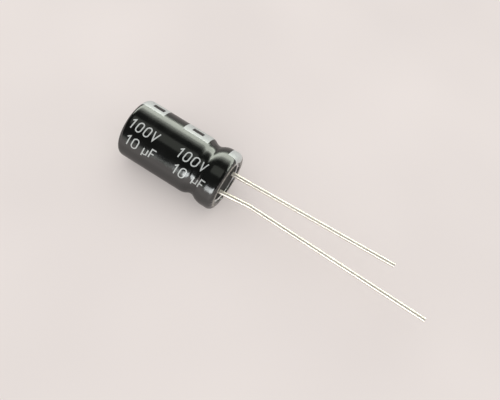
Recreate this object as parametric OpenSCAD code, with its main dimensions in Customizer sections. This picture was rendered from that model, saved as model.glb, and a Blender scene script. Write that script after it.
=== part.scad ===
// Radial electrolytic capacitor, sizes in millimetres
// The origin is on the can's axis, in the plane of the rolled rim; +Z runs out along the leads, +Y is the cathode side

/* [Can] */
// Outside diameter of the bare can
can_d = 6.3; // [6.1:0.05:6.4]
// Length of the bare can, closed end to rolled rim
can_l = 11.5; // [11.3:0.05:12]
// Thickness of the can's wall
can_wall = 0.25; // [0.2:0.01:0.28]
// Outside radius of the closed end's edge
corner_r = 0.5; // [0.35:0.05:0.8]

/* [Groove and bead] */
// Rolled rim to the middle of the groove
groove_drop = 2.6; // [2.5:0.05:2.8]
// Depth of the groove below the can's wall
groove_depth = 0.3528; // [0.3:0.0008:0.4]
// Radius where the wall turns into the groove
shoulder_r = 1.25; // [1:0.05:1.5]
// Radius of the groove's bottom on the can's side
groove_r = 1; // [0.8:0.05:1.2]
// Radius of the groove's bottom on the rim's side
groove_out_r = 0.85; // [0.6:0.05:1]
// Rise from the bottom of the groove to the bead
bead_rise = 0.4312; // [0.3512:0.0008:0.472]
// Radius of the bead's round top
bead_top_r = 1.9; // [1.6:0.05:2.2]

/* [Rolled rim] */
// Outside radius of the rolled edge
curl_r = 0.49; // [0.42:0.01:0.52]
// Width of the flat ring on top of the rolled edge
rim_flat = 0.12; // [0.08:0.01:0.14]

/* [Sleeve] */
// Thickness of the shrunk film
sleeve_wall = 0.1; // [0.06:0.01:0.12]
// Radius of the bare round on the closed end
sleeve_hole_r = 2.3; // [2:0.05:2.35]
// How far the film laps past the rim's flat, in degrees
sleeve_lap = 35; // [15:1:60]

/* [Rubber seal] */
// Rolled rim to the inner face of the seal
seal_drop = 4; // [3.9:0.05:4.2]
// Room between the seal and the inner edge of the rolled rim
boss_gap = 0.03; // [0.01:0.01:0.2]
// Depth of the seal's outer face below the seating plane
seal_recess = 0.2; // [0.1:0.05:0.4]
// Room round a lead in the seal
lead_clearance = 0.03; // [0.02:0.01:0.05]

/* [Leads] */
// Diameter of the leads
lead_d = 0.5; // [0.45:0.01:0.55]
// Distance between the leads at the seal
lead_pitch = 2.5; // [2.4:0.05:2.6]
// Radius of a bend in a lead
lead_bend_r = 3; // [2:0.5:3.5]
// Length of the cathode lead outside the seal
cathode_lead_l = 19; // [5:0.5:30]
// Outward slope of the cathode lead, in degrees
cathode_splay = 2.4; // [2:0.1:2.6]
// Length of the anode lead outside the seal
anode_lead_l = 24; // [8:0.5:35]
// Seal to the anode lead's knee
anode_knee = 3.45; // [2.5:0.05:5]
// Inward slope of the anode lead up to the knee, in degrees
anode_slope = 6.2; // [6:0.2:6.2]
// Turn back at the knee, in degrees
anode_turn = 7.4; // [7:0.1:7.5]

/* [Tabs] */
// Diameter of a tab's round end in the seal
tab_rod_d = 1; // [0.9:0.05:1.1]
// Rolled rim to the weld between tab and lead
weld_drop = 0.9; // [0.7:0.05:1.3]
// Thickness of a tab's flat end in the winding
tab_th = 0.2; // [0.15:0.01:0.22]
// Closed end to the start of the flat end
tab_start = 1.4; // [1.2:0.1:3]
// How far the round end stands out of the seal inside the can
tab_rod_reach = 0.35; // [0.25:0.05:0.45]

/* [Winding] */
// Thickness of the anode foil
anode_foil_th = 0.1; // [0.08:0.005:0.1]
// Thickness of the cathode foil
cathode_foil_th = 0.05; // [0.03:0.005:0.05]
// Thickness of one paper
paper_th = 0.045; // [0.03:0.005:0.045]
// Thickness of the tape
tape_th = 0.045; // [0.03:0.005:0.06]
// Room between one wound layer and the next
layer_gap = 0.0025; // [0.002:0.0005:0.004]
// Whole turns of the winding
winding_turns = 7; // [5:1:7]
// Closed end to the start of the papers
paper_start = 0.5; // [0.4:0.05:0.7]
// Room between the papers and the round ends of the tabs
paper_gap = 0.15; // [0.15:0.05:0.35]
// How much the papers stand past the foils
paper_margin = 0.3; // [0.2:0.05:0.5]

/* [Hidden] */
$fn = 72;
can_r = can_d / 2;
seating_s = can_l + sleeve_wall;
seal_face_s = seating_s - seal_recess;
groove_s = can_l - groove_drop;
seal_start = can_l - seal_drop;
tab_weld_s = can_l - weld_drop;
tab_rod_start = seal_start - tab_rod_reach;
paper_end = tab_rod_start - paper_gap;
shoulder_turn = acos(1 - groove_depth / (shoulder_r + groove_r));
bead_turn = acos(1 - bead_rise / (groove_out_r + bead_top_r));
bead_run = (groove_out_r + bead_top_r) * sin(bead_turn);
wall_l = groove_s - corner_r - (shoulder_r + groove_r) * sin(shoulder_turn);
bead_r = can_r - groove_depth + bead_rise;
bead_l = can_l - curl_r - groove_s - bead_run;
seal_boss_r = bead_r - 2 * curl_r - rim_flat - boss_gap;
seal_shoulder_s = can_l - curl_r;
// A run is [length] or [radius, turn], and a turn above 0 leads towards the axis
wall_runs = [[corner_r, 90], [wall_l], [shoulder_r, shoulder_turn], [groove_r, -shoulder_turn],
    [groove_out_r, -bead_turn], [bead_top_r, bead_turn], [bead_l]];
can_runs = concat([[can_r - corner_r]], wall_runs, [[curl_r, 90], [rim_flat], [curl_r, 90]]);
sleeve_runs = concat([[can_r - corner_r - sleeve_hole_r]], wall_runs, [[curl_r, 90], [rim_flat], [curl_r, sleeve_lap]]);
seal_runs = concat([[can_r - corner_r]], wall_runs);
// Wound layers from inside to outside: paper, anode foil, paper, cathode foil
layer_th = [paper_th, anode_foil_th, paper_th, cathode_foil_th];
layer_base = [0.5 * layer_gap, paper_th + 1.5 * layer_gap, paper_th + anode_foil_th + 2.5 * layer_gap,
    2 * paper_th + anode_foil_th + 3.5 * layer_gap];
turn_pitch = 2 * paper_th + anode_foil_th + cathode_foil_th + 4 * layer_gap;
anode_tab_at = 2.75 * 360;
cathode_tab_at = 2.25 * 360;
core_r = lead_pitch / 2 - tab_th / 2 - layer_base[1] - turn_pitch * anode_tab_at / 360;
point_step = 15;
winding_end = 360 * winding_turns;

// Puts the can's closed end where the seating plane comes to height 0
module below_rim() {
    translate([0, 0, -seating_s]) children();
}

// Where the path leads after a run, seen from the run's start: it heads along +Y there, with its outside on +X
module after(size, turn) {
    centre = turn > 0 ? -size : size;
    if (turn == 0) translate([0, size]) children();
    else translate([centre, 0]) rotate(turn) translate([-centre, 0]) children();
}

module ring(inside_r, outside_r) {
    difference() {
        circle(r = outside_r);
        circle(r = inside_r);
    }
}

module arc_band(size, turn, inside, outside) {
    reach = 3 * size + 3;
    difference() {
        if (turn > 0) translate([-size, 0]) ring(size + inside, size + outside);
        else translate([size, 0]) ring(size - outside, size - inside);
        translate([-reach, -reach]) square([2 * reach, reach]);
        after(size, turn) translate([-reach, 0]) square([2 * reach, reach]);
    }
}

// A band along a path, between two distances outside the path
module skin(runs, inside, outside, index = 0) {
    if (index < len(runs)) {
        size = runs[index][0];
        turn = len(runs[index]) > 1 ? runs[index][1] : 0;
        if (turn == 0) translate([inside, 0]) square([outside - inside, size]);
        else arc_band(size, turn, inside, outside);
        after(size, turn) skin(runs, inside, outside, index + 1);
    }
}

module sleeve() {
    color([0.06, 0.06, 0.07]) below_rim() rotate_extrude()
        translate([sleeve_hole_r, 0]) rotate(-90) skin(sleeve_runs, 0, sleeve_wall);
}

module can() {
    color([0.8, 0.8, 0.81]) below_rim() rotate_extrude() rotate(-90) skin(can_runs, -can_wall, 0);
}

module seal_profile() {
    difference() {
        translate([0, seal_start]) square([max(can_r, bead_r) - can_wall, seal_shoulder_s - seal_start]);
        rotate(-90) skin(seal_runs, -can_wall, min(groove_r, groove_out_r) - 0.05);
    }
    translate([0, seal_start]) square([seal_boss_r, seal_face_s - seal_start]);
}

module seal() {
    color([0.12, 0.12, 0.12]) below_rim() difference() {
        rotate_extrude() seal_profile();
        for (side = [-1, 1]) translate([0, side * lead_pitch / 2, 0]) {
            translate([0, 0, seal_start - 1]) cylinder(d = tab_rod_d, h = tab_weld_s - seal_start + 1);
            translate([0, 0, seal_start]) cylinder(r = lead_d / 2 + lead_clearance, h = seal_face_s - seal_start + 1);
        }
    }
}

// Where a lead leads after a bend that starts at the origin along +X and turns towards +Y
module past_bend(turn) {
    sideways = lead_bend_r * (1 - cos(turn));
    translate([lead_bend_r * sin(abs(turn)), turn > 0 ? sideways : -sideways, 0]) rotate([0, 0, turn]) children();
}

module bend(turn) {
    difference() {
        mirror([0, turn > 0 ? 0 : 1, 0]) translate([0, lead_bend_r, 0]) rotate([0, 0, -90])
            rotate_extrude(angle = abs(turn) + 5) translate([lead_bend_r, 0]) circle(d = lead_d);
        past_bend(turn) translate([0, -lead_d, -lead_d]) cube([lead_bend_r, 2 * lead_d, 2 * lead_d]);
    }
}

module wire(lengths, turns, index = 0) {
    rotate([0, 90, 0]) cylinder(d = lead_d, h = lengths[index]);
    if (index < len(turns)) translate([lengths[index], 0, 0]) {
        bend(turns[index]);
        past_bend(turns[index]) wire(lengths, turns, index + 1);
    }
}

module anode_lead() {
    slope_arc = lead_bend_r * anode_slope * PI / 180;
    turn_arc = lead_bend_r * anode_turn * PI / 180;
    slope_l = anode_knee - slope_arc - turn_arc / 2;
    end_l = anode_lead_l - slope_arc - slope_l - turn_arc;
    color([0.82, 0.81, 0.79]) translate([0, -lead_pitch / 2, tab_weld_s - seating_s])
        rotate([0, -90, 0]) wire([seal_face_s - tab_weld_s, slope_l, end_l], [anode_slope, -anode_turn]);
}

module cathode_lead() {
    splay_arc = lead_bend_r * cathode_splay * PI / 180;
    color([0.82, 0.81, 0.79]) translate([0, lead_pitch / 2, tab_weld_s - seating_s])
        rotate([0, -90, 0]) wire([seal_face_s - tab_weld_s, cathode_lead_l - splay_arc], [cathode_splay]);
}

// How far a tab lifts the layers wound over it, by the angle away from the tab
function hump(away) = max(0, min(1, (60 - abs((away + 3780) % 360 - 180)) / 30));
function over(angle, layer, tab_at, tab_layer) =
    angle > tab_at + 180 || (angle > tab_at - 180 && layer >= tab_layer) ? 1 : 0;
function spiral_r(angle) = core_r + turn_pitch * angle / 360;
function lift(angle, layer) = tab_th * (over(angle, layer, anode_tab_at, 1) * hump(angle - anode_tab_at)
    + over(angle, layer, cathode_tab_at, 3) * hump(angle - cathode_tab_at));
function layer_r(angle, layer) = spiral_r(angle) + layer_base[layer] + lift(angle, layer);

module layer_strip(layer, thickness, from_angle, to_angle) {
    polygon(concat(
        [for (angle = [from_angle:point_step:to_angle])
            (layer_r(angle, layer) + thickness) * [cos(angle), sin(angle)]],
        [for (angle = [to_angle:-point_step:from_angle])
            layer_r(angle, layer) * [cos(angle), sin(angle)]]));
}

module wound(layer, thickness, from_angle, to_angle, start_s, end_s) {
    below_rim() translate([0, 0, start_s]) linear_extrude(height = end_s - start_s)
        layer_strip(layer, thickness, from_angle, to_angle);
}

// The flat end lies against the inner side of its foil
module tab(side, tab_at, layer) {
    below_rim() {
        translate([0, side * lead_pitch / 2, tab_rod_start]) cylinder(d = tab_rod_d, h = tab_weld_s - tab_rod_start);
        translate([0, 0, tab_start]) linear_extrude(height = tab_rod_start + 0.2 - tab_start) polygon(concat(
            [for (angle = [tab_at - 30:point_step:tab_at + 30])
                (spiral_r(angle) + layer_base[layer] + tab_th) * [cos(angle), sin(angle)]],
            [for (angle = [tab_at + 30:-point_step:tab_at - 30])
                (spiral_r(angle) + layer_base[layer]) * [cos(angle), sin(angle)]]));
    }
}

module anode_tab() {
    color([0.75, 0.76, 0.78]) tab(-1, anode_tab_at, 1);
}

module cathode_tab() {
    color([0.75, 0.76, 0.78]) tab(1, cathode_tab_at, 3);
}

module anode_foil() {
    color([0.55, 0.56, 0.58])
        wound(1, anode_foil_th, 180, winding_end - 180, paper_start + paper_margin, paper_end - paper_margin);
}

module cathode_foil() {
    color([0.68, 0.69, 0.7])
        wound(3, cathode_foil_th, 90, winding_end - 90, paper_start + paper_margin, paper_end - paper_margin);
}

module inner_separator() {
    color([0.85, 0.78, 0.62]) wound(0, paper_th, 0, winding_end + 360, paper_start, paper_end);
}

module outer_separator() {
    color([0.85, 0.78, 0.62]) wound(2, paper_th, 0, winding_end, paper_start, paper_end);
}

module winding_tape() {
    color([0.8, 0.65, 0.35]) wound(1, tape_th, winding_end + point_step, winding_end + 360, paper_start, paper_end);
}

sleeve();
can();
seal();
anode_lead();
cathode_lead();
anode_tab();
cathode_tab();
anode_foil();
cathode_foil();
inner_separator();
outer_separator();
winding_tape();
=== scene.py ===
import math

import bpy
from mathutils import Matrix, Vector


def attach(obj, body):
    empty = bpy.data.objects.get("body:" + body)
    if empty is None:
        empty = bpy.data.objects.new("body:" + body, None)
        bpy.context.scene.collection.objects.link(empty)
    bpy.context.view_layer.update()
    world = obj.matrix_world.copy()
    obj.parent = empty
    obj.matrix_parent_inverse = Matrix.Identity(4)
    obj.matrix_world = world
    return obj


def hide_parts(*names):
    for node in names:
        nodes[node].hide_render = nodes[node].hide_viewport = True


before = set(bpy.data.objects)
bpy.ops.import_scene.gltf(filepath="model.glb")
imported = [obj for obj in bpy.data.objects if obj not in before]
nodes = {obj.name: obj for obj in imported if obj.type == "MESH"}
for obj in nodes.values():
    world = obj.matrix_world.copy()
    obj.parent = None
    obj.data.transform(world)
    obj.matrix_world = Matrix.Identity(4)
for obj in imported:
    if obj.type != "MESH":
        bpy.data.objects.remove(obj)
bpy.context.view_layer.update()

MM = 0.001

# Sizes of the dressed sleeve, in millimetres, as in part.scad
CAN_R = 3.15
FILM = 0.1
SEATING = 11.6
CORNER_R = 0.5
GROOVE_S = 8.9
GROOVE_DEPTH = 0.3528
SHOULDER_R = 1.25
GROOVE_R = 1.0
GROOVE_OUT_R = 0.85
BEAD_RISE = 0.4312
BEAD_TOP_R = 1.9
CURL_R = 0.49
RIM_FLAT = 0.12
CAN_L = 11.5
HOLE_R = 2.3

# The film's last arc over the rim, in degrees, and how many rings at each cut edge wave with it
LAP_TURN = 32
LAP_STEPS = 5
HOLE_STEPS = 3


def collection_link(obj):
    bpy.context.scene.collection.objects.link(obj)
    return obj


def mesh_object(name, verts, faces, material, smooth=True):
    mesh = bpy.data.meshes.new(name)
    mesh.from_pydata(verts, [], faces)
    mesh.validate()
    mesh.update()
    if smooth:
        for poly in mesh.polygons:
            poly.use_smooth = True
    mesh.materials.append(material)
    return collection_link(bpy.data.objects.new(name, mesh))


# The film's outer outline, as points of radius and distance from the can's closed end
def outline():
    shoulder = math.acos(1 - GROOVE_DEPTH / (SHOULDER_R + GROOVE_R))
    bead = math.acos(1 - BEAD_RISE / (GROOVE_OUT_R + BEAD_TOP_R))
    wall = GROOVE_S - CORNER_R - (SHOULDER_R + GROOVE_R) * math.sin(shoulder)
    crest = CAN_L - CURL_R - GROOVE_S - (GROOVE_OUT_R + BEAD_TOP_R) * math.sin(bead)
    runs = [
        ("line", CAN_R - CORNER_R - HOLE_R, 0, HOLE_STEPS),
        ("arc", CORNER_R, math.pi / 2, 12),
        ("line", wall, 0, 60),
        ("arc", SHOULDER_R, shoulder, 10),
        ("arc", GROOVE_R, -shoulder, 10),
        ("arc", GROOVE_OUT_R, -bead, 8),
        ("arc", BEAD_TOP_R, bead, 12),
        ("line", crest, 0, 6),
        ("arc", CURL_R, math.pi / 2, 12),
        ("line", RIM_FLAT, 0, 2),
        ("arc", CURL_R, math.radians(LAP_TURN), LAP_STEPS),
    ]
    r, s, heading = HOLE_R, 0.0, 0.0
    points = [(r, s, heading)]
    for kind, size, turn, steps in runs:
        for i in range(1, steps + 1):
            if kind == "line":
                part = size * i / steps
                points.append((r + part * math.cos(heading), s + part * math.sin(heading), heading))
            else:
                side = 1 if turn > 0 else -1
                cr = r - side * size * math.sin(heading)
                cs = s + side * size * math.cos(heading)
                h = heading + turn * i / steps
                points.append((cr + side * size * math.sin(h), cs - side * size * math.cos(h), h))
        r, s, heading = points[-1]
    return points


PATH = outline()
OUTSIDE = [(r + FILM * math.sin(h), s - FILM * math.cos(h)) for r, s, h in PATH]


# Radius of the film's outside at a distance from the closed end, between the two rounded ends
def film_r(s):
    best = CAN_R + FILM
    for (r0, s0), (r1, s1) in zip(OUTSIDE, OUTSIDE[1:]):
        if s0 <= s <= s1 and s1 > s0 and r0 > 2.8:
            best = r0 + (r1 - r0) * (s - s0) / (s1 - s0)
    return best


# Small smooth waves round the film, as counts, sizes and starts, for its cut edges and shrunk folds
def wave(angle, seeds):
    return sum(size * math.sin(count * angle + start) for count, size, start in seeds)


RIM_WAVE = [(7, 0.035, 0.4), (11, 0.03, 1.9), (17, 0.02, 4.2), (23, 0.012, 2.6)]
END_WAVE = [(5, 0.02, 1.1), (9, 0.012, 3.3), (14, 0.01, 0.2)]
PULL_WAVE = [(19, 0.5, 0.7), (31, 0.35, 2.9), (8, 0.4, 5.1)]
RIPPLE_WAVE = [(29, 0.5, 0.3), (41, 0.45, 1.7), (57, 0.35, 4.0)]
# How far the folds stand out and where along the can they start and fade, in millimetres
PULL_SIZE = 0.006
PULL_REACH = 0.6
RIPPLE_SIZE = 0.014
RIPPLE_START = 11.2
RIPPLE_FADE = 0.25
# The mean of the rim's cut edge, and the film's inner face off the can
EDGE_TRIM = 0.06
INSIDE_OFF = 0.004


# How far the shrunk film stands out of round in the groove; the angle runs from +X towards +Y
def pull(s, angle):
    return PULL_SIZE * math.exp(-(((s - GROOVE_S) / PULL_REACH) ** 2)) * wave(angle, PULL_WAVE)


# Fine ripples where the film is drawn over the rolled rim
def ripple(s, angle):
    share = min(1.0, max(0.0, (s - RIPPLE_START) / RIPPLE_FADE))
    return RIPPLE_SIZE * share * wave(angle, RIPPLE_WAVE)


# A point over the film; its angle runs from -X, which faces the camera, towards +Y
def at(s, angle, out=0.0):
    r = film_r(s) + pull(s, math.pi - angle) + out
    return Vector((-r * math.cos(angle), r * math.sin(angle), s - SEATING)) * MM


# Node materials
def new_material(name):
    material = bpy.data.materials.new(name)
    material.use_nodes = True
    tree = material.node_tree
    shader = tree.nodes["Principled BSDF"]
    return material, tree, shader


def noise_bump(tree, shader, scale, strength, distance, stretch=(1, 1, 1), detail=3.0):
    place = tree.nodes.new("ShaderNodeTexCoord")
    mapping = tree.nodes.new("ShaderNodeMapping")
    mapping.inputs["Scale"].default_value = stretch
    noise = tree.nodes.new("ShaderNodeTexNoise")
    noise.inputs["Scale"].default_value = scale
    noise.inputs["Detail"].default_value = detail
    bump = tree.nodes.new("ShaderNodeBump")
    bump.inputs["Strength"].default_value = strength
    bump.inputs["Distance"].default_value = distance
    tree.links.new(place.outputs["Object"], mapping.inputs["Vector"])
    tree.links.new(mapping.outputs["Vector"], noise.inputs["Vector"])
    tree.links.new(noise.outputs["Fac"], bump.inputs["Height"])
    tree.links.new(bump.outputs["Normal"], shader.inputs["Normal"])
    return noise


def varied(tree, noise, socket, low, high):
    ramp = tree.nodes.new("ShaderNodeMapRange")
    ramp.inputs["From Min"].default_value = 0.3
    ramp.inputs["From Max"].default_value = 0.7
    ramp.inputs["To Min"].default_value = low
    ramp.inputs["To Max"].default_value = high
    tree.links.new(noise.outputs["Fac"], ramp.inputs["Value"])
    tree.links.new(ramp.outputs["Result"], socket)


def two_colours(tree, noise, socket, first, second):
    mix = tree.nodes.new("ShaderNodeMix")
    mix.data_type = "RGBA"
    mix.inputs["A"].default_value = (*first, 1)
    mix.inputs["B"].default_value = (*second, 1)
    tree.links.new(noise.outputs["Fac"], mix.inputs["Factor"])
    tree.links.new(mix.outputs["Result"], socket)


def film_material():
    material, tree, shader = new_material("black_film")
    noise = noise_bump(tree, shader, 900, 0.25, 0.00002, detail=4.0)
    two_colours(tree, noise, shader.inputs["Base Color"], (0.003, 0.0036, 0.003), (0.006, 0.0068, 0.006))
    varied(tree, noise, shader.inputs["Roughness"], 0.14, 0.2)
    shader.inputs["IOR"].default_value = 1.55
    # Painted highlight: a pale band along the crest of the rolled rim, broken up by fine noise, stands in for
    # the bright reflection there
    place = tree.nodes.new("ShaderNodeTexCoord")
    split = tree.nodes.new("ShaderNodeSeparateXYZ")
    tree.links.new(place.outputs["Object"], split.inputs["Vector"])
    crest = tree.nodes.new("ShaderNodeMapRange")
    crest.inputs["From Min"].default_value = -0.00005
    crest.inputs["From Max"].default_value = -0.000005
    tree.links.new(split.outputs["Z"], crest.inputs["Value"])
    breakup_noise = tree.nodes.new("ShaderNodeTexNoise")
    breakup_noise.inputs["Scale"].default_value = 3200
    breakup_noise.inputs["Detail"].default_value = 2.0
    tree.links.new(place.outputs["Object"], breakup_noise.inputs["Vector"])
    # Fine noise breaks the painted crest highlight into a jagged line
    highlight_breakup = tree.nodes.new("ShaderNodeMapRange")
    highlight_breakup.inputs["From Min"].default_value = 0.35
    highlight_breakup.inputs["From Max"].default_value = 0.7
    tree.links.new(breakup_noise.outputs["Fac"], highlight_breakup.inputs["Value"])
    share = tree.nodes.new("ShaderNodeMath")
    share.operation = "MULTIPLY"
    tree.links.new(crest.outputs["Result"], share.inputs[0])
    tree.links.new(highlight_breakup.outputs["Result"], share.inputs[1])
    # The painted highlight's pale colour, mixed over the film's dark base colour
    pale = tree.nodes.new("ShaderNodeMix")
    pale.data_type = "RGBA"
    pale.inputs["B"].default_value = (0.38, 0.36, 0.3, 1)
    dark = shader.inputs["Base Color"].links[0].from_socket
    tree.links.new(share.outputs["Value"], pale.inputs["Factor"])
    tree.links.new(dark, pale.inputs["A"])
    tree.links.new(pale.outputs["Result"], shader.inputs["Base Color"])
    return material


def ink_material():
    material, tree, shader = new_material("white_ink")
    noise = noise_bump(tree, shader, 2500, 0.2, 0.00001)
    two_colours(tree, noise, shader.inputs["Base Color"], (0.48, 0.51, 0.5), (0.58, 0.61, 0.6))
    shader.inputs["Roughness"].default_value = 0.35
    return material


def aluminium_material():
    material, tree, shader = new_material("drawn_aluminium")
    noise = noise_bump(tree, shader, 1500, 0.15, 0.00001)
    two_colours(tree, noise, shader.inputs["Base Color"], (0.72, 0.72, 0.73), (0.84, 0.84, 0.85))
    varied(tree, noise, shader.inputs["Roughness"], 0.25, 0.4)
    shader.inputs["Metallic"].default_value = 1.0
    return material


def rubber_material():
    material, tree, shader = new_material("black_rubber")
    noise = noise_bump(tree, shader, 3000, 0.5, 0.00003)
    two_colours(tree, noise, shader.inputs["Base Color"], (0.006, 0.006, 0.0055), (0.018, 0.018, 0.016))
    shader.inputs["Roughness"].default_value = 0.7
    shader.inputs["Specular IOR Level"].default_value = 0.2
    return material


def lead_material():
    material, tree, shader = new_material("tinned_wire")
    noise = noise_bump(tree, shader, 1200, 0.3, 0.00002, stretch=(1, 1, 0.12))
    two_colours(tree, noise, shader.inputs["Base Color"], (0.54, 0.5, 0.445), (0.68, 0.64, 0.585))
    varied(tree, noise, shader.inputs["Roughness"], 0.36, 0.48)
    shader.inputs["Metallic"].default_value = 0.6
    return material


def inner_material(name, first, second, metallic, roughness):
    material, tree, shader = new_material(name)
    noise = noise_bump(tree, shader, 2000, 0.2, 0.00001)
    two_colours(tree, noise, shader.inputs["Base Color"], first, second)
    shader.inputs["Metallic"].default_value = metallic
    shader.inputs["Roughness"].default_value = roughness
    return material


film = film_material()
ink = ink_material()
aluminium = aluminium_material()
looks = {
    "can": aluminium,
    "seal": rubber_material(),
    "anode_lead": lead_material(),
    "anode_tab": aluminium,
    "cathode_tab": aluminium,
    "anode_foil": inner_material("etched_foil", (0.3, 0.31, 0.32), (0.4, 0.41, 0.42), 0.6, 0.7),
    "cathode_foil": inner_material("plain_foil", (0.5, 0.51, 0.52), (0.6, 0.61, 0.62), 0.8, 0.5),
    "inner_separator": inner_material("wet_paper", (0.6, 0.5, 0.33), (0.72, 0.62, 0.44), 0.0, 0.55),
    "winding_tape": inner_material("tape_film", (0.55, 0.42, 0.2), (0.62, 0.5, 0.28), 0.0, 0.3),
}
looks["cathode_lead"] = looks["anode_lead"]
looks["outer_separator"] = looks["inner_separator"]
for name, material in looks.items():
    nodes[name].data.materials.clear()
    nodes[name].data.materials.append(material)
    for poly in nodes[name].data.polygons:
        poly.use_smooth = False

# Wires, can and seal are round, so their shading is smooth except across real edges
for name in ("can", "seal", "anode_lead", "cathode_lead", "anode_tab", "cathode_tab"):
    nodes[name].data.set_sharp_from_angle(angle=math.radians(32))
    for poly in nodes[name].data.polygons:
        poly.use_smooth = True


# The shrunk film, with uneven cut edges, faint pulls in the groove and ripples over the rim
AROUND = 288


def film_ring(index, outside):
    r, s, heading = PATH[index]
    last = len(PATH) - 1
    ring = []
    for k in range(AROUND):
        angle = 2 * math.pi * k / AROUND
        rr, ss = r, s
        if index > last - LAP_STEPS:
            share = (index - (last - LAP_STEPS)) / LAP_STEPS
            slide = share * (wave(angle, RIM_WAVE) - EDGE_TRIM)
            rr += slide * math.cos(heading)
            ss += slide * math.sin(heading)
        if index < HOLE_STEPS:
            rr += (HOLE_STEPS - index) / HOLE_STEPS * wave(angle, END_WAVE)
        off = FILM + pull(s, angle) + ripple(s, angle) if outside else INSIDE_OFF
        rr += off * math.sin(heading)
        ss -= off * math.cos(heading)
        ring.append(Vector((rr * math.cos(angle), rr * math.sin(angle), ss - SEATING)) * MM)
    return ring


def film_sleeve():
    rings = [film_ring(i, True) for i in range(len(PATH))]
    rings += [film_ring(i, False) for i in reversed(range(len(PATH)))]
    verts = [v for ring in rings for v in ring]
    faces = []
    count = len(rings)
    for i in range(count):
        a, b = i * AROUND, ((i + 1) % count) * AROUND
        for k in range(AROUND):
            n = (k + 1) % AROUND
            faces.append((a + k, a + n, b + n, b + k))
    obj = mesh_object("film_sleeve", verts, faces, film)
    obj.data.set_sharp_from_angle(angle=math.radians(50))
    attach(obj, "root")
    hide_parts("sleeve")
    return obj


film_sleeve()


# Print, laid on the film as thin fields
INK_OUT = 0.008
STROKE_STEP = 0.06
INK_SHORT_RINGS = 4


# A stroke of ink through points, given in millimetres along and round the can
def ribbon(points, width):
    verts, faces = [], []
    closed = len(points) > 2 and points[0] == points[-1]
    dense = [points[0]]
    for start, end in zip(points, points[1:]):
        pieces = max(1, math.ceil(math.dist(start, end) / STROKE_STEP))
        for k in range(1, pieces + 1):
            dense.append(tuple(a + (b - a) * k / pieces for a, b in zip(start, end)))
    base = dense[:-1] if closed else dense
    count = len(base)
    sides = []
    for i in range(count):
        p = Vector(base[i])
        if closed:
            before_p, after_p = Vector(base[i - 1]), Vector(base[(i + 1) % count])
        else:
            before_p, after_p = Vector(base[max(i - 1, 0)]), Vector(base[min(i + 1, count - 1)])
        one = (p - before_p).normalized() if (p - before_p).length > 0 else (after_p - p).normalized()
        two = (after_p - p).normalized() if (after_p - p).length > 0 else one
        mean = (one + two).normalized()
        normal = Vector((-mean.y, mean.x))
        reach = width / 2 / max(0.5, normal.dot(Vector((-one.y, one.x))))
        sides.append((p + normal * reach, p - normal * reach))
    for left, right in sides:
        for q in (left, right):
            verts.append(at(q.x, q.y / (CAN_R + FILM), INK_OUT))
    for i in range(count if closed else count - 1):
        j = (i + 1) % count
        faces.append((2 * i, 2 * i + 1, 2 * j + 1, 2 * j))
    return verts, faces


def joined(name, parts, material):
    verts, faces = [], []
    for part_verts, part_faces in parts:
        start = len(verts)
        verts += part_verts
        faces += [tuple(i + start for i in face) for face in part_faces]
    obj = mesh_object(name, verts, faces, material)
    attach(obj, "root")
    return obj


def rounded(cx, cy, rx, ry, start, end, steps=10):
    return [
        (
            cx + rx * math.cos(math.radians(start + (end - start) * i / steps)),
            cy + ry * math.sin(math.radians(start + (end - start) * i / steps)),
        )
        for i in range(steps + 1)
    ]


# Strokes and width of each sign in a box 1 high, x along the reading direction and y up; "u" stands for micro
def glyph(sign):
    if sign == "1":
        return [[(0.08, 0.8), (0.3, 1.0), (0.3, 0.0)]], 0.45
    if sign == "0":
        ring = rounded(0.28, 0.72, 0.24, 0.28, 0, 180) + rounded(0.28, 0.28, 0.24, 0.28, 180, 360)
        return [ring + [ring[0]]], 0.56
    if sign == "V":
        return [[(0.0, 1.0), (0.26, 0.0), (0.52, 1.0)]], 0.52
    if sign == "u":
        return [
            [(0.06, 0.68), (0.06, -0.28)],
            [(0.06, 0.3)] + rounded(0.26, 0.2, 0.2, 0.2, 180, 360) + [(0.46, 0.68)],
            [(0.46, 0.68), (0.46, 0.0)],
        ], 0.52
    # What is left is the F
    return [[(0.48, 1.0), (0.06, 1.0), (0.06, 0.0)], [(0.06, 0.52), (0.42, 0.52)]], 0.5


STROKE = 0.13
WIDEN = 1.15
LEAN = 0.14


# Reads from the closed end towards the leads, slanted forwards; gap is in shares of the height
def line_of_print(signs, start_s, middle_angle, height, gap):
    radius = CAN_R + FILM
    x = start_s
    parts = []
    for sign in signs:
        strokes, width = glyph(sign)
        for points in strokes:
            placed = [
                (x + (WIDEN * gx + LEAN * gy) * height, middle_angle * radius + (gy - 0.5) * height)
                for gx, gy in points
            ]
            parts.append(ribbon(placed, STROKE))
        x += (WIDEN * width + gap) * height
    return parts


def grid_faces(rows, columns):
    faces = []
    for row in range(rows):
        for column in range(columns):
            p = row * (columns + 1) + column
            faces.append((p, p + columns + 1, p + columns + 2, p + 1))
    return faces


# A field over the rolled rim, from the bead to near the film's cut edge
def rim_field(s0, a0, a1, steps=16):
    last = len(PATH) - INK_SHORT_RINGS
    first = next(i for i, point in enumerate(PATH) if point[1] > s0)
    verts = []
    for r, s, heading in PATH[first:last]:
        for j in range(steps + 1):
            angle = a0 + (a1 - a0) * j / steps
            off = FILM + ripple(s, math.pi - angle) + INK_OUT
            rr = r + off * math.sin(heading)
            ss = s - off * math.cos(heading)
            verts.append(Vector((-rr * math.cos(angle), rr * math.sin(angle), ss - SEATING)) * MM)
    return verts, grid_faces(last - first - 1, steps)


def field(s0, s1, a0, a1, steps_s=18, steps_a=14):
    verts = [
        at(s0 + (s1 - s0) * i / steps_s, a0 + (a1 - a0) * j / steps_a, INK_OUT)
        for i in range(steps_s + 1)
        for j in range(steps_a + 1)
    ]
    return verts, grid_faces(steps_s, steps_a)


DEG = math.radians(1)

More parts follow.
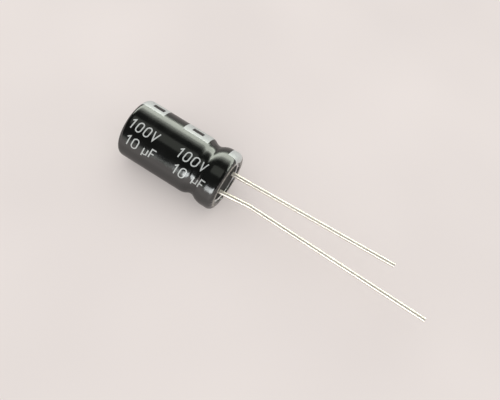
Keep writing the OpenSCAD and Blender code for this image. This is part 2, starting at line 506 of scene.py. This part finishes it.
# The two lines of a plain rating, printed twice along the can
VOLTS_ANGLE = -23.6 * DEG
FARADS_ANGLE = -54 * DEG
words = []
for start in (0.42, 6.12):
    words += line_of_print("100V", start, VOLTS_ANGLE, 1.02, 0.27)
for start in (0.7, 6.4):
    words += line_of_print("10", start, FARADS_ANGLE, 1.1, 0.22)
for start in (2.87, 8.7):
    words += line_of_print("uF", start, FARADS_ANGLE, 1.02, 0.16)
joined("rating_print", words, ink)

STRIPE_LOW = 20.6 * DEG
STRIPE_HIGH = 62 * DEG
BAR_LOW = 31 * DEG
BAR_HIGH = 42 * DEG
RIM_STRIPE_S = 10.45
RIM_STRIPE_LOW = 22 * DEG


# A white block with a bar left bare in it, as a minus sign for the cathode side
def stripe_block(start, bar_start, bar_end, end):
    return [
        field(start, bar_start, STRIPE_LOW, STRIPE_HIGH),
        field(bar_start, bar_end, STRIPE_LOW, BAR_LOW),
        field(bar_start, bar_end, BAR_HIGH, STRIPE_HIGH),
        field(bar_end, end, STRIPE_LOW, STRIPE_HIGH),
    ]


stripe = stripe_block(0.02, 1.1, 2.4, 2.75) + stripe_block(5.1, 5.9, 7.2, 8.1)
stripe.append(rim_field(RIM_STRIPE_S, RIM_STRIPE_LOW, STRIPE_HIGH))
joined("stripe_print", stripe, ink)


# The surface that the part lies against in the photograph
BACKDROP_HALF = 1200
BEAD_TOUCH_X = 3.33
BEAD_TOUCH_Z = -1.21
END_SLIMMER = 0.078
TOUCH_APART = 9.89


def backdrop():
    material = bpy.data.materials.new("pale_paper")
    material.use_nodes = True
    tree = material.node_tree
    shader = tree.nodes["Principled BSDF"]
    noise = noise_bump(tree, shader, 60, 0.1, 0.00002, detail=1.0)
    two_colours(tree, noise, shader.inputs["Base Color"], (0.58, 0.54, 0.525), (0.67, 0.625, 0.605))
    shader.inputs["Roughness"].default_value = 0.9
    shader.inputs["Specular IOR Level"].default_value = 0.0
    # Paper glows a little to the camera, and its near part to gloss, so shadows stay as soft as in the photo
    rays = tree.nodes.new("ShaderNodeLightPath")
    place = tree.nodes.new("ShaderNodeTexCoord")
    split = tree.nodes.new("ShaderNodeSeparateXYZ")
    tree.links.new(place.outputs["Object"], split.inputs["Vector"])
    near = tree.nodes.new("ShaderNodeMapRange")
    near.inputs["From Min"].default_value = -0.004
    near.inputs["From Max"].default_value = -0.014
    near.inputs["To Max"].default_value = 0.9
    tree.links.new(split.outputs["Y"], near.inputs["Value"])
    ahead = tree.nodes.new("ShaderNodeMapRange")
    ahead.inputs["From Min"].default_value = -0.001
    ahead.inputs["From Max"].default_value = 0.004
    ahead.inputs["To Max"].default_value = 0.3
    tree.links.new(split.outputs["Z"], ahead.inputs["Value"])
    both = tree.nodes.new("ShaderNodeMath")
    both.operation = "ADD"
    tree.links.new(near.outputs["Result"], both.inputs[0])
    tree.links.new(ahead.outputs["Result"], both.inputs[1])
    seen = tree.nodes.new("ShaderNodeMath")
    seen.operation = "MULTIPLY"
    seen.inputs[1].default_value = 0.2
    tree.links.new(rays.outputs["Is Camera Ray"], seen.inputs[0])
    glow = tree.nodes.new("ShaderNodeMath")
    glow.operation = "MULTIPLY_ADD"
    tree.links.new(rays.outputs["Is Glossy Ray"], glow.inputs[0])
    tree.links.new(both.outputs["Value"], glow.inputs[1])
    tree.links.new(seen.outputs["Value"], glow.inputs[2])
    tree.links.new(glow.outputs["Value"], shader.inputs["Emission Strength"])
    shader.inputs["Emission Color"].default_value = (1, 0.93, 0.9, 1)
    side = tree.nodes.new("ShaderNodeNewGeometry")
    clear = tree.nodes.new("ShaderNodeBsdfTransparent")
    mix = tree.nodes.new("ShaderNodeMixShader")
    out = tree.nodes["Material Output"]
    tree.links.new(side.outputs["Backfacing"], mix.inputs["Fac"])
    tree.links.new(shader.outputs["BSDF"], mix.inputs[1])
    tree.links.new(clear.outputs["BSDF"], mix.inputs[2])
    tree.links.new(mix.outputs["Shader"], out.inputs["Surface"])
    half = BACKDROP_HALF
    verts = [Vector((0, y, z)) * MM for y, z in ((-half, -half), (-half, half), (half, half), (half, -half))]
    obj = mesh_object("backdrop", verts, [(0, 1, 2, 3)], material, smooth=False)
    # It touches the bead and the closed end's edge, which is slimmer
    obj.location = Vector((BEAD_TOUCH_X, 0, BEAD_TOUCH_Z)) * MM
    obj.rotation_euler = (0, math.atan(END_SLIMMER / TOUCH_APART), 0)


backdrop()


# A lamp that only gloss sees, as a window or lamp would show in the film; its sizes are in metres. Its angle
# runs from -X towards +Y and its lift towards +Z, wide is across the can and tall is along it.
def soft_box(name, angle, distance, wide, tall, radiance, colour, lift=0.0):
    lamp = bpy.data.lights.new(name, "AREA")
    lamp.shape = "RECTANGLE"
    lamp.size = wide
    lamp.size_y = tall
    lamp.energy = radiance * math.pi * wide * tall
    lamp.color = colour
    obj = collection_link(bpy.data.objects.new(name, lamp))
    flat = math.cos(lift)
    back = Vector((-math.cos(angle) * flat, math.sin(angle) * flat, math.sin(lift)))
    right = Vector((0, 0, 1)).cross(back).normalized()
    obj.matrix_world = Matrix((right, back.cross(right), back)).transposed().to_4x4()
    obj.location = back * distance
    obj.visible_diffuse = False


GREENISH = (0.95, 1, 0.88)
soft_box("far_box_wide", 60 * DEG, 1.5, 1.6, 8.0, 0.8, GREENISH)
soft_box("far_box_middle", 60 * DEG, 1.48, 1.05, 7.8, 2.1, GREENISH)
soft_box("far_box_core", 63 * DEG, 1.46, 0.62, 7.6, 4.8, GREENISH)
soft_box("front_box", -8 * DEG, 1.5, 0.8, 1.8, 0.65, GREENISH)
soft_box("near_box", -86 * DEG, 1.5, 0.3, 2.2, 1.0, GREENISH)
soft_box("near_spot", -84 * DEG, 1.45, 0.62, 1.26, 12.0, (0.97, 1, 1), 11.5 * DEG)


# A plain even room, which the gloss sees darker than paint does
def room():
    world = bpy.data.worlds.new("room")
    bpy.context.scene.world = world
    world.use_nodes = True
    tree = world.node_tree
    ground = tree.nodes["Background"]
    ground.inputs["Color"].default_value = (1, 0.985, 0.97, 1)
    rays = tree.nodes.new("ShaderNodeLightPath")
    level = tree.nodes.new("ShaderNodeMapRange")
    level.inputs["To Min"].default_value = 0.97
    level.inputs["To Max"].default_value = 0.05
    tree.links.new(rays.outputs["Is Glossy Ray"], level.inputs["Value"])
    tree.links.new(level.outputs["Result"], ground.inputs["Strength"])


room()


# Camera, fitted to the photograph
def camera():
    data = bpy.data.cameras.new("camera")
    data.sensor_width = 36
    data.lens = 43.2
    data.clip_start = 0.001
    data.clip_end = 10
    obj = collection_link(bpy.data.objects.new("camera", data))
    right = Vector((-0.14017, 0.51786, 0.84391))
    down = Vector((0.42706, -0.73734, 0.52340))
    ahead = Vector((0.89329, 0.43376, -0.11780))
    obj.matrix_world = Matrix((right, -down, -ahead)).transposed().to_4x4()
    obj.location = Vector((-54.97, -26.944, 10.148)) * MM
    bpy.context.scene.camera = obj


camera()

scene = bpy.context.scene
scene.render.engine = "CYCLES"
scene.cycles.samples = 256
scene.cycles.use_denoising = True
scene.render.resolution_x = 500
scene.render.resolution_y = 400
scene.render.resolution_percentage = 100
scene.view_settings.view_transform = "Standard"
